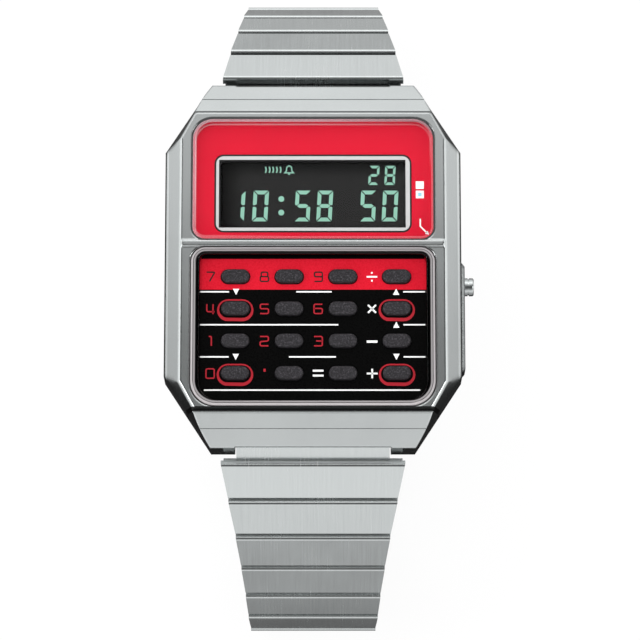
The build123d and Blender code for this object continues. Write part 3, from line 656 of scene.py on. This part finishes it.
label_strokes = {
    "7": [[(0.0, 1.0), (1.0, 1.0), (0.35, 0.0)]],
    "8": [[(0.1, 0.52), (0.1, 1.0), (0.9, 1.0), (0.9, 0.52)],
          [(0.0, 0.52), (1.0, 0.52), (1.0, 0.0), (0.0, 0.0), (0.0, 0.52)]],
    "9": [[(0.05, 0.0), (1.0, 0.0), (1.0, 1.0), (0.05, 1.0), (0.05, 0.5), (1.0, 0.5)]],
    "4": [[(0.05, 1.0), (0.05, 0.2), (1.0, 0.2)], [(0.8, 1.0), (0.8, -0.05)]],
    "5": [[(1.0, 1.0), (0.0, 1.0), (0.0, 0.52), (1.0, 0.52), (1.0, 0.0), (0.0, 0.0)]],
    "6": [[(1.0, 1.0), (0.0, 1.0), (0.0, 0.0), (1.0, 0.0), (1.0, 0.55), (0.0, 0.55)]],
    "1": [[(0.3, 1.0), (0.62, 1.0), (0.62, 0.0)]],
    "2": [[(0.0, 1.0), (1.0, 1.0), (1.0, 0.52), (0.0, 0.45), (0.0, 0.0), (1.0, 0.0)]],
    "3": [[(0.0, 1.0), (1.0, 1.0), (1.0, 0.0), (0.0, 0.0)], [(0.25, 0.52), (1.0, 0.52)]],
    "0": [[(0.5, 0.0), (1.0, 0.0), (1.0, 1.0), (0.0, 1.0), (0.0, 0.0), (0.5, 0.0)]],
    "divide": [[(-0.15, 0.5), (1.15, 0.5)], [(0.4, 0.92), (0.6, 0.92)], [(0.4, 0.08), (0.6, 0.08)]],
    "multiply": [[(0.02, 0.92), (0.98, 0.08)], [(0.02, 0.08), (0.98, 0.92)]],
    "minus": [[(-0.15, 0.45), (1.15, 0.45)]],
    "plus": [[(-0.15, 0.5), (1.15, 0.5)], [(0.5, 1.0), (0.5, 0.0)]],
    "equals": [[(-0.15, 0.28), (1.15, 0.28)], [(-0.15, 0.8), (1.15, 0.8)]],
    "point": [[(0.42, 0.85), (0.68, 0.85)]],
}
key_rows = (
    ("7", "8", "9", "divide"),
    ("4", "5", "6", "multiply"),
    ("1", "2", "3", "minus"),
    ("0", "point", "equals", "plus"),
)
ringed_keys = ("4", "multiply", "0", "plus")
white_lines = (
    (-3.63, -13.0, -9.68), (-3.63, -1.92, 2.16), (-3.63, 10.41, 12.92),
    (-7.52, -13.0, 2.91), (-7.52, 10.41, 12.92),
    (-11.3, -13.0, -9.68), (-11.3, -2.75, 2.63), (-11.3, 10.41, 12.92),
    (-15.19, -12.5, 12.3),
)
triangles = ((-8.87, -3.63, -1), (9.59, -3.63, 1), (9.59, -7.52, 1),
             (-8.87, -11.3, -1), (9.59, -11.3, -1))
triangle_half = 0.36


def label_colour(row, name):
    if name in ("divide", "multiply", "minus", "plus", "equals"):
        return "white"
    return "black" if row == 0 else "red"


def make_keypad_print(inks):
    low = plate_top + print_lift
    high = low + print_thickness
    meshes = {colour: bmesh.new() for colour in inks}
    for row, names in enumerate(key_rows):
        for column, name in enumerate(names):
            key_x = first_column_x + column * column_pitch
            key_y = first_row_y - row * row_pitch
            colour = label_colour(row, name)
            stroke = sign_strokes.get(name, label_stroke)
            for points in label_strokes[name]:
                placed = [(key_x + label_offset + (x - 0.5) * label_width,
                           key_y + (y - 0.5) * label_height) for x, y in points]
                if colour != "white" and len(placed) > 2:
                    placed = rounded(placed, label_rounding)
                add_stroke(meshes[colour], placed, stroke, low, high)
            if name in ringed_keys:
                outer = pill_path(key_x, key_y - ring_drop, ring_length, ring_breadth)
                inner = pill_path(key_x, key_y - inner_ring_drop, inner_ring_length,
                                  inner_ring_breadth)
                add_band(meshes["red"], inner[:-1], outer[:-1], low, high, closed=True)
    for y, x_low, x_high in white_lines:
        add_stroke(meshes["white"], [(x_low, y), (x_high, y)], line_width, low, high)
    for x, y, up in triangles:
        tip = (x, y + up * triangle_half)
        base = y - up * triangle_half
        corners = [tip, (x - triangle_half, base), (x + triangle_half, base)]
        add_slab(meshes["white"], corners if up > 0 else corners[::-1], low, high)
    for colour, mesh in meshes.items():
        new_piece(f"keypad_print_{colour}", mesh, inks[colour])


# Liquid crystal figures

digit_segments = {
    "0": "abcdef", "1": "bc", "2": "abdeg", "3": "abcdg", "4": "bcfg", "5": "acdfg",
    "6": "acdefg", "7": "abc", "8": "abcdefg", "9": "abcdfg",
}
segment_gap = 0.085
segment_split = 0.06
bar_end_share = 0.45
notch_share = 0.35
digit_slant = 0.055
main_digits = (("1", -8.82), ("0", -6.1), ("5", -1.2), ("8", 1.36), ("5", 6.39), ("0", 8.94))
main_digit_size = (1.78, 3.68, 0.52, 0.45)
main_digit_low = 4.88
small_digits = (("2", 7.08), ("8", 8.95))
small_digit_size = (1.22, 2.3, 0.36, 0.31)
small_digit_low = 9.24
colon_x = -3.68
colon_ys = (5.93, 7.56)
colon_radius = 0.34
colon_corners = 24
alarm_bars = (-5.49, -5.05, -4.64, -4.21, -3.78)
alarm_bar_low = 10.7
alarm_bar_height = 0.72
alarm_bar_bend = (-0.05, 0.07, 0.3)
alarm_bar_line = 0.16
bell_x = -2.78
bell_low = 10.5
bell_outline = ((0.5, 0.2), (0.32, 0.42), (0.28, 0.85), (0, 1.06), (-0.28, 0.85), (-0.32, 0.42),
                (-0.5, 0.2))
bell_line = 0.14
clapper_radius = 0.13
clapper_corners = 12
clapper_rise = 0.06


def segment_outlines(width, height, upright, level):
    """Outlines of a seven-segment figure's parts, from its lower left corner."""
    gap = segment_gap
    middle = height / 2
    flat = level / 2
    top = [(gap, height), (width - gap, height), (width - upright, height - level),
           (upright, height - level)]
    bottom = [(upright, level), (width - upright, level), (width - gap, 0), (gap, 0)]
    bar_end = upright * bar_end_share
    bar = [(bar_end, middle), (upright, middle + flat), (width - upright, middle + flat),
           (width - bar_end, middle), (width - upright, middle - flat), (upright, middle - flat)]
    upper_left = [(0, height - gap), (upright - gap, height - level - gap),
                  (upright - gap, middle + flat), (upright * notch_share, middle + gap),
                  (0, middle + gap + segment_split)]
    lower_left = [(0, middle - gap - segment_split), (upright * notch_share, middle - gap),
                  (upright - gap, middle - flat), (upright - gap, level + gap), (0, gap)]
    upper_right = [(width - x, y) for x, y in reversed(upper_left)]
    lower_right = [(width - x, y) for x, y in reversed(lower_left)]
    return {"a": top, "b": upper_right, "c": lower_right, "d": bottom, "e": lower_left,
            "f": upper_left, "g": bar}


def add_digit(mesh, figure, x, y, size, low, high):
    """Seven-segment figure whose middle is at x and whose foot is at y."""
    outlines = segment_outlines(*size)
    for part in digit_segments[figure]:
        placed = [(x - size[0] / 2 + px + (py - size[1] / 2) * digit_slant, y + py)
                  for px, py in outlines[part]]
        area = sum(a[0] * b[1] - b[0] * a[1] for a, b in zip(placed, placed[1:] + placed[:1]))
        add_slab(mesh, placed if area > 0 else placed[::-1], low, high)


def make_display_figures(ink):
    low = cell_top + print_lift
    high = low + print_thickness
    mesh = bmesh.new()
    for figure, x in main_digits:
        add_digit(mesh, figure, x, main_digit_low, main_digit_size, low, high)
    for figure, x in small_digits:
        add_digit(mesh, figure, x, small_digit_low, small_digit_size, low, high)
    for y in colon_ys:
        add_slab(mesh, dot_path(colon_x, y, colon_radius, colon_corners), low, high)
    inward, outward, bend_radius = alarm_bar_bend
    for x in alarm_bars:
        bar = [(x + inward, alarm_bar_low), (x + outward, alarm_bar_low + alarm_bar_height / 2),
               (x + inward, alarm_bar_low + alarm_bar_height)]
        add_stroke(mesh, rounded(bar, bend_radius), alarm_bar_line, low, high)
    bell = [(bell_x + x, bell_low + y) for x, y in bell_outline]
    add_stroke(mesh, bell, bell_line, low, high, closed=True)
    clapper = dot_path(bell_x, bell_low + clapper_rise, clapper_radius, clapper_corners)
    add_slab(mesh, clapper, low, high)
    new_piece("lcd_figures", mesh, ink)


# Marks on the red mask


def make_mask_marks(white_ink, blue_ink, black_ink):
    mask_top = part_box("display_mask")[1].z
    low = mask_top + mark_low
    high = mask_top + mark_high
    marks = bmesh.new()
    left, right = mark_sides
    for foot in mark_feet:
        head = foot + mark_height
        add_slab(marks, [(left, foot), (right, foot), (right, head), (left, head)], low, high)
    add_stroke(marks, mark_line, mark_line_width, low, high)
    add_slab(marks, mark_arrow, low, high)
    new_piece("mask_marks", marks, white_ink)
    square = bmesh.new()
    add_slab(square, blue_square, high, high + blue_rise)
    new_piece("mask_mark_blue", square, blue_ink)
    # Painted shadow round the display frame's outer edge, as a black ring on the mask
    painted_shadow_ring = bmesh.new()
    path = window_path(*painted_frame_shadow_outline)[:-1]
    add_stroke(painted_shadow_ring, path, painted_frame_shadow_width, low, high, closed=True)
    new_piece("painted_frame_shadow", painted_shadow_ring, black_ink)


def make_lens_seal(material):
    """Black bead in the groove between the lens's rounded edge and the bezel."""
    mesh = bmesh.new()
    path = window_path(*seal_outline)[:-1]
    add_stroke(mesh, path, seal_width, bezel_top - seal_depth, bezel_top + seal_rise, closed=True)
    new_piece("lens_seal", mesh, material)


# The button's spring


def make_button_coil(material):
    """Coil between the well's floor and the button."""
    mesh = bmesh.new()
    middle = (spring_low + spring_high) / 2
    radius = (spring_high.y - spring_low.y) / 2 - spring_wire
    start = spring_low.x + spring_wire
    rise = spring_high.x - spring_low.x - 2 * spring_wire
    steps = spring_steps_a_turn * spring_turns
    whole_turn = 2 * pi * spring_turns
    angles = [2 * pi * index / spring_sides for index in range(spring_sides)]
    rings = []
    for step in range(steps + 1):
        share = step / steps
        turn = whole_turn * share
        out = Vector((0, cos(turn), sin(turn)))
        centre = Vector((start + rise * share, middle.y, middle.z)) + radius * out
        along = Vector((rise / (whole_turn * radius), -sin(turn), cos(turn))).normalized()
        across = along.cross(out)
        spokes = [cos(angle) * out + sin(angle) * across for angle in angles]
        rings.append([mesh.verts.new(centre + spring_wire * spoke) for spoke in spokes])
    for first, second in zip(rings, rings[1:]):
        for index in range(spring_sides):
            after = (index + 1) % spring_sides
            mesh.faces.new((first[index], second[index], second[after], first[after]))
    mesh.faces.new(rings[0])
    mesh.faces.new(rings[-1][::-1])
    bmesh.ops.recalc_face_normals(mesh, faces=mesh.faces)
    for face in mesh.faces:
        face.smooth = len(face.verts) == 4
    coil = new_piece("button_coil", mesh, material)
    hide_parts("button_spring")
    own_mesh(coil)


# Materials of the pieces


def ink_material(name, colour, roughness=0.45):
    """Screen-printed ink with faint unevenness."""
    return plastic(name, colour, roughness, grain=9000.0, bump=0.1, speck=0.06, sheen=0.2)


def crystal_material(name, colour):
    """Lit liquid crystal: matt, with a faint cell texture."""
    return plastic(name, colour, 0.6, grain=12000.0, bump=0.05, speck=0.04, sheen=0.1)


def clear_surface(graph, inside, roughness):
    """A glossy skin over what shows through a clear part."""
    smear = graph.grain(smear_fineness, detail=2.0)
    rough = graph.spread_about(smear, roughness, smear_shares)
    fine = graph.grain(polish_fineness, detail=2.0)
    normal = graph.bump(fine, polish_bump, polish_depth)
    skin = graph.add("BsdfGlossy", {"Roughness": rough, "Normal": normal}).outputs[0]
    outside = graph.math("SUBTRACT", 1.0, graph.add("NewGeometry").outputs["Backfacing"])
    fresnel = graph.add("Fresnel", {"IOR": clear_refraction}).outputs[0]
    mirror = graph.math("MULTIPLY", fresnel, outside)
    mixed = graph.add("MixShader", {0: mirror, 1: inside, 2: skin})
    graph.tree.links.new(mixed.outputs[0], graph.output.inputs["Surface"])
    return graph.material


def edge_normals(graph):
    """The normal's parts east and north, and 1 where a clear part's edge is rounded off."""
    east, north, height = graph.parts(graph.add("NewGeometry").outputs["Normal"])
    rounding = graph.remap(graph.math("ABSOLUTE", height), *clear_edge_range, 0.0, 1.0)
    return east, north, rounding


def lens_material():
    """Clear lens with a painted pale highlight on its edge and inside it, most at the upper left.
    """
    graph = Graph("lens_clear")
    east, north, rounding = edge_normals(graph)
    lit = graph.remap(graph.math("SUBTRACT", north, east), -1.0, 1.0, *lens_highlight_shares)
    through = graph.add("BsdfTransparent", {"Color": grey(clear_share)}).outputs[0]
    # Painted highlight: a pale diffuse colour mixed over the clear lens
    edge = graph.add("BsdfDiffuse", {"Color": lens_highlight}).outputs[0]
    share = graph.math("MULTIPLY", rounding, lit)
    x, y, z = graph.dial_place()
    # Painted highlight line inside the lens's edge, fading out towards the lower right
    away = graph.math("SUBTRACT", outline_depth(graph, *lens_outline), lens_highlight_line_depth)
    line = graph.remap(graph.math("ABSOLUTE", away), lens_highlight_line_width / 2, lens_highlight_line_width,
                       lens_highlight_line_level, 0.0)
    across = graph.math("SUBTRACT", y, graph.math("MULTIPLY", x, lens_highlight_line_slope))
    upper_left = graph.remap(across, *lens_highlight_line_fade, 0.0, 1.0)
    share = graph.math("MAXIMUM", share, graph.math("MULTIPLY", line, upper_left))
    inside = graph.add("MixShader", {0: share, 1: through, 2: edge}).outputs[0]
    return clear_surface(graph, inside, lens_roughness)


def outline_depth(graph, half_width, low, high, low_corner, high_corner):
    """How far inside a window's outline on the dial a point lies, in millimetres."""
    x, y, z = graph.dial_place()
    y = graph.math("SUBTRACT", y, (low + high) / 2)
    corner = graph.remap(y, *corner_change, low_corner, high_corner)
    across = graph.math("SUBTRACT", graph.math("ABSOLUTE", x), half_width)
    along = graph.math("SUBTRACT", graph.math("ABSOLUTE", y), (high - low) / 2)
    across = graph.math("ADD", across, corner)
    along = graph.math("ADD", along, corner)
    out_x = graph.math("POWER", graph.math("MAXIMUM", across, 0.0), 2.0)
    out_y = graph.math("POWER", graph.math("MAXIMUM", along, 0.0), 2.0)
    outside = graph.math("SQRT", graph.math("ADD", out_x, out_y))
    inside = graph.math("MINIMUM", graph.math("MAXIMUM", across, along), 0.0)
    return graph.math("SUBTRACT", corner, graph.math("ADD", outside, inside))


def rim_material():
    """Smoky clear rim with a painted pale pink highlight on and inside its outer edge."""
    graph = Graph("rim_clear")
    east, north, rounding = edge_normals(graph)
    x, y, z = graph.parts(graph.place((1, 1, 1)))
    y = graph.math("SUBTRACT", y, rim_middle_y * MM)
    outward = graph.math("ADD", graph.math("MULTIPLY", east, x), graph.math("MULTIPLY", north, y))
    outward = graph.remap(outward, 0.0, MM, 0.0, 1.0)
    lit = graph.remap(north, -1.0, 1.0, *rim_highlight_shares)
    share = graph.math("MULTIPLY", graph.math("MULTIPLY", rounding, outward), lit)
    # Painted highlight line inside the rim's outline
    depth = outline_depth(graph, *rim_outline)
    away = graph.math("ABSOLUTE", graph.math("SUBTRACT", depth, rim_highlight_line_depth))
    inner_highlight_line = graph.remap(away, rim_highlight_line_width / 2, rim_highlight_line_width, rim_highlight_line_level, 0.0)
    share = graph.math("MAXIMUM", share, inner_highlight_line)
    through = graph.add("BsdfTransparent", {"Color": rim_see_through}).outputs[0]
    # Painted highlight: a pale pink diffuse colour mixed over the clear rim
    edge = graph.add("BsdfDiffuse", {"Color": rim_highlight}).outputs[0]
    inside = graph.add("MixShader", {0: share, 1: through, 2: edge}).outputs[0]
    return clear_surface(graph, inside, rim_roughness)


def frame_material():
    """Satin frame round the display, in shadow beside its opening's left and upper edges."""
    graph = Graph("frame_silver")
    x, y, z = graph.dial_place()
    fine = graph.grain(frame_fineness)
    limits = (("GREATER_THAN", x, frame_low.x / MM + frame_side_band - frame_shadow),
              ("LESS_THAN", x, frame_high.x / MM - frame_side_band),
              ("GREATER_THAN", y, frame_low.y / MM + frame_lower_band),
              ("LESS_THAN", y, frame_high.y / MM - frame_upper_band + frame_shadow))
    inside = 1.0
    for operation, place, limit in limits:
        inside = graph.math("MULTIPLY", inside, graph.math(operation, place, limit))
    level = graph.spread(fine, *frame_levels)
    level = graph.math("MULTIPLY", level, graph.share(inside, frame_shadow_level))
    shine = graph.remap(inside, 0.0, 1.0, *frame_shine)
    return graph.surface({"Base Color": graph.mix(level, grey(0.0), grey(1.0)),
                          "Roughness": graph.spread(fine, *frame_roughness),
                          "Specular IOR Level": shine,
                          "Normal": graph.bump(fine, frame_bump, grain_depth)})


def cell_material():
    """Dark display cell, shaded along its left and upper sides by the frame over it."""
    graph = Graph("cell_dark")
    x, y, z = graph.dial_place()
    shade = graph.math("MULTIPLY", graph.remap(x, *cell_shadow_left, 0.0, 1.0),
                       graph.remap(y, *cell_shadow_top, 0.0, 1.0))
    fine = graph.grain(cell_fineness, detail=2.0)
    level = graph.math("MULTIPLY", shade, graph.spread(fine, *cell_mottle))
    colour = graph.mix(level, grey(0.0), grey(cell_level))
    return graph.surface({"Base Color": colour, "Roughness": graph.spread(fine, *cell_roughness),
                          "Specular IOR Level": cell_shine})


def keypad_material():
    """Gloss black plate with a printed red stripe along the first row."""
    graph = Graph("keypad_print")
    x, y, z = graph.dial_place()
    out = graph.math("ABSOLUTE", x)
    inside = graph.remap(out, stripe_half_width, stripe_half_width + stripe_blur, 1.0, 0.0)
    above = graph.remap(y, stripe_low, stripe_low + stripe_blur, 0.0, 1.0)
    below = graph.remap(y, stripe_high, stripe_high + stripe_blur, 1.0, 0.0)
    stripe = graph.math("MULTIPLY", inside, graph.math("MULTIPLY", above, below))
    fine = graph.grain(plate_fineness, detail=2.0)
    red = graph.mix(graph.spread(fine, 0.0, 1.0), *stripe_reds)
    dark = graph.mix(graph.spread(fine, 0.0, 1.0), *plate_blacks)
    colour = graph.mix(stripe, dark, red)
    rough = graph.spread(fine, *plate_roughness)
    normal = graph.bump(fine, plate_bump, polish_depth)
    return graph.surface({"Base Color": colour, "Roughness": rough, "Normal": normal,
                          "Specular IOR Level": plate_shine})


def key_material():
    """Matt dark rubber-like plastic with a coarse light grain."""
    graph = Graph("key_grain")
    coarse_share, fine_share = key_grain_shares
    coarse_fineness, fine_fineness = key_fineness
    coarse = graph.grain(coarse_fineness, detail=4.0, roughness=0.75)
    fine = graph.grain(fine_fineness, detail=2.0)
    level = graph.math("ADD", graph.math("MULTIPLY", coarse, coarse_share),
                       graph.math("MULTIPLY", fine, fine_share))
    colour = graph.ramp(level, key_colours)
    rough = graph.spread(coarse, *key_roughness)
    normal = graph.bump(level, key_bump, key_grain_depth)
    return graph.surface({"Base Color": colour, "Roughness": rough, "Normal": normal,
                          "Specular IOR Level": key_shine})


def make_materials():
    """Material of each of the record's slots."""
    return {
        "case_steel": steel("case_steel", brushing=(2600, 90, 2600), level=0.6, roughness=0.17,
                            bump=0.03, lines_depth=0.015, edge=case_edge_radius,
                            shoulder=case_shoulder, fine_lines=case_fine_lines,
                            painted_groove_shade=case_painted_groove_shade, painted_side_lines=case_painted_side_lines),
        "bracelet_steel": steel("bracelet_steel", brushing=(5200, 130, 130), level=0.64,
                                roughness=0.24, bump=0.06, lines_depth=0.05, ends=True),
        "hard_steel": steel("hard_steel", brushing=(600, 4000, 4000), level=0.6, roughness=0.22,
                            bump=0.1, lines_depth=0.03),
        "lens_clear": lens_material(),
        "rim_clear": rim_material(),
        "red_print": plastic("red_print", mask_red, roughness=0.4, bump=0.03, speck=0.03,
                             sheen=0.1),
        "frame_silver": frame_material(),
        "cell_dark": cell_material(),
        "keypad_print": keypad_material(),
        "key_grain": key_material(),
        "rubber": plastic("rubber", grey(0.03), roughness=0.7),
        "module_black": plastic("module_black", grey(0.045), roughness=0.55),
        "board_green": plastic("board_green", board_green, roughness=0.35, grain=2500.0),
        "cell_steel": steel("cell_steel", brushing=(900, 2600, 900), level=0.62, roughness=0.3,
                            bump=0.1),
        "brass": steel("brass", brushing=(1200, 1200, 300), level=0.6, roughness=0.3),
    }


materials = make_materials()


def dress_frame():
    """Give every carried-over node the material of its slot."""
    for subpart in frame["record"]["subparts"]:
        node = frame["nodes"][subpart["node"]]
        material = materials[subpart["material_slot"]]
        if not node.material_slots:
            node.data.materials.append(None)
        for slot in node.material_slots:
            slot.link = "OBJECT"
            slot.material = material


dress_frame()
inks = {
    "red": ink_material("ink_red", label_red),
    "white": ink_material("ink_white", grey(0.88)),
    "black": ink_material("ink_black", grey(0.012)),
}
make_keypad_print(inks)
make_display_figures(crystal_material("lcd_mint", figure_mint))
make_mask_marks(ink_material("mark_white", grey(0.9)), ink_material("mark_blue", mark_blue),
                inks["black"])
make_lens_seal(materials["rubber"])
make_button_coil(materials["hard_steel"])


# Setting


def lobe(graph, height, stops):
    """Brightness by elevation, from (degrees above the horizon, level) stops."""
    return graph.ramp(height, [(sin(radians(angle)), grey(level)) for angle, level in stops])


def make_world():
    """Level studio light by direction; plain white to the camera."""
    world = bpy.data.worlds.new("studio")
    world.use_nodes = True
    scene.world = world
    graph = Graph.on_tree(world.node_tree)
    east, north, height = graph.parts(graph.add("TexCoord").outputs["Generated"])
    northward = graph.remap(north, *south_to_north, 0.0, 1.0)
    light = graph.mix(northward, lobe(graph, height, south_light), lobe(graph, height, north_light))
    across = graph.math("ABSOLUTE", east)
    share = graph.math("DIVIDE", across, graph.math("ADD", across, graph.math("ABSOLUTE", north)))
    sideways = graph.remap(share, *ends_to_sides, 0.0, 1.0)
    light = graph.mix(sideways, light, lobe(graph, height, side_light))
    light = shaded(graph, light, graph.remap(east, *west_to_east, *west_east_shares))
    lit = graph.add("Background", {"Color": light}).outputs[0]
    white = graph.add("Background", {"Color": grey(1.0)}).outputs[0]
    to_camera = graph.add("LightPath").outputs["Is Camera Ray"]
    mixed = graph.add("MixShader", {0: to_camera, 1: lit, 2: white})
    output = graph.add("OutputWorld")
    graph.tree.links.new(mixed.outputs[0], output.inputs["Surface"])


def make_floor():
    """Floor: white to the camera but for a light shadow; in the steel, a glow with painted shade.
    """
    mesh = bmesh.new()
    bmesh.ops.create_grid(mesh, x_segments=1, y_segments=1, size=floor_half_size)
    data = bpy.data.meshes.new("floor")
    mesh.to_mesh(data)
    mesh.free()
    floor = bpy.data.objects.new("floor", data)
    scene.collection.objects.link(floor)
    graph = Graph("floor")
    lit = graph.add("BsdfDiffuse", {"Color": grey(floor_grey)}).outputs[0]
    white = graph.add("Emission", {"Color": grey(1.0), "Strength": 1.0}).outputs[0]
    shown = graph.add("MixShader", {0: floor_white_share, 1: lit, 2: white}).outputs[0]
    x, y, z = graph.parts(graph.place((1, 1, 1)))
    east = graph.math("POWER", graph.math("ABSOLUTE", x), 2.0)
    north = graph.math("POWER", graph.math("ABSOLUTE", y), 2.0)
    total = graph.math("ADD", graph.math("ADD", east, north), floor_middle_softness)
    share = graph.math("DIVIDE", east, total)
    level = graph.remap(share, *floor_level_range, *floor_levels)
    distance = graph.math("SQRT", graph.math("ADD", east, north))
    at_ends = graph.math("MULTIPLY", graph.remap(distance, *floor_shade_ends, floor_darkest, 1.0),
                         graph.remap(y, *floor_near_far))
    at_sides = graph.math("MULTIPLY", graph.remap(distance, *floor_shade_sides, floor_darkest, 1.0),
                          graph.remap(y, *floor_along_sides))
    shade = graph.mix(graph.remap(share, *floor_side_range, 0.0, 1.0), at_ends, at_sides)
    level = graph.math("MULTIPLY", level, shade)
    # Glow that the steel mirrors, with painted shade near the watch
    mirrored = graph.add("Emission", {"Color": grey(1.0), "Strength": level}).outputs[0]
    path = graph.add("LightPath")
    in_mirrors = graph.add("MixShader", {0: path.outputs["Is Glossy Ray"], 1: lit, 2: mirrored})
    mixed = graph.add("MixShader", {0: path.outputs["Is Camera Ray"], 1: in_mirrors.outputs[0],
                                    2: shown})
    graph.tree.links.new(mixed.outputs[0], graph.output.inputs["Surface"])
    data.materials.append(graph.material)


def add_light(name, place, aim, size, power, mirrored):
    """Rectangular soft light aimed at a point, which may be left out of mirror images."""
    data = bpy.data.lights.new(name, "AREA")
    data.shape = "RECTANGLE"
    data.size, data.size_y = size
    data.energy = power
    light = bpy.data.objects.new(name, data)
    light.location = place
    direction = Vector(aim) - Vector(place)
    light.rotation_euler = direction.to_track_quat("-Z", "Y").to_euler()
    light.visible_glossy = mirrored
    scene.collection.objects.link(light)


scene.view_settings.view_transform = "Standard"
make_world()
make_floor()
for studio_light in studio_lights:
    add_light(*studio_light)
